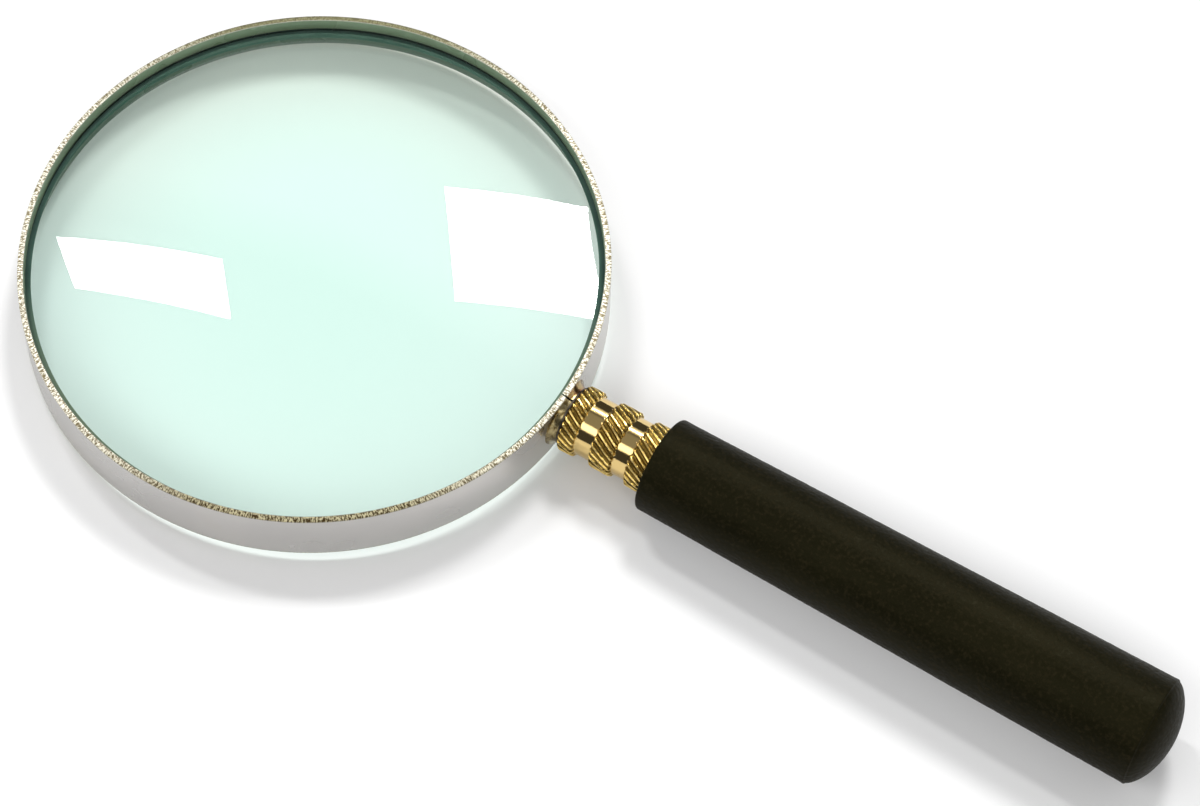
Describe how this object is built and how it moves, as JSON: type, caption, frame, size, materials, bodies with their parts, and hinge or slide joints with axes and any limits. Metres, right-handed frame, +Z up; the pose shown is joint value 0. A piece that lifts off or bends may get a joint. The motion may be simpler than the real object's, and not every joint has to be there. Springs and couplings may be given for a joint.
{
  "type": "magnifying glass",
  "caption": "Hand-held magnifying glass: plano-convex lens in a split metal rim band, knurled and grooved brass ferrule that screws the band shut, dark tapered round handle with a domed end.",
  "frame": {"origin": "on the table under the middle of the glass's length, as it lies on the far edge of the rim band and the front edge of the handle", "axes": "+X along the handle, away from the lens; +Z up, within 1.4 degrees of the lens's optical axis; +Y completes the right-handed frame"},
  "size_m": [0.218, 0.1018, 0.0205],
  "materials": {
    "lens_glass": "clear with a pale green tint, fine ground edge",
    "rim_metal": "satin nickel plate, worn to rough metal on the edges",
    "washer_steel": "blackened",
    "ferrule_brass": "polished, knurled",
    "handle_dark": "satin dark brown, fine pebbled grain"
  },
  "bodies": {
    "ring": {"rim_band": "rim_metal", "lens": "lens_glass", "lug_left": "rim_metal", "lug_right": "rim_metal"},
    "washer": {"thrust_washer": "washer_steel"},
    "handle": {"ferrule": "ferrule_brass", "handle_grip": "handle_dark"}
  },
  "joints": [
    {"name": "handle_advance", "type": "slide", "parent": "ring", "child": "washer", "axis": [0.9997, 0, 0.0243], "range_m": [0, 0.00625]},
    {"name": "handle_unscrew", "type": "hinge", "parent": "washer", "child": "handle", "pos_m": [-0.00556, 0, 0.0081], "axis": [0.9997, 0, 0.0243], "range_deg": [0, 1805]}
  ],
  "couplings": [
    {"joint": "handle_unscrew", "follows": "handle_advance", "rad_per_m": 5026.5}
  ]
}
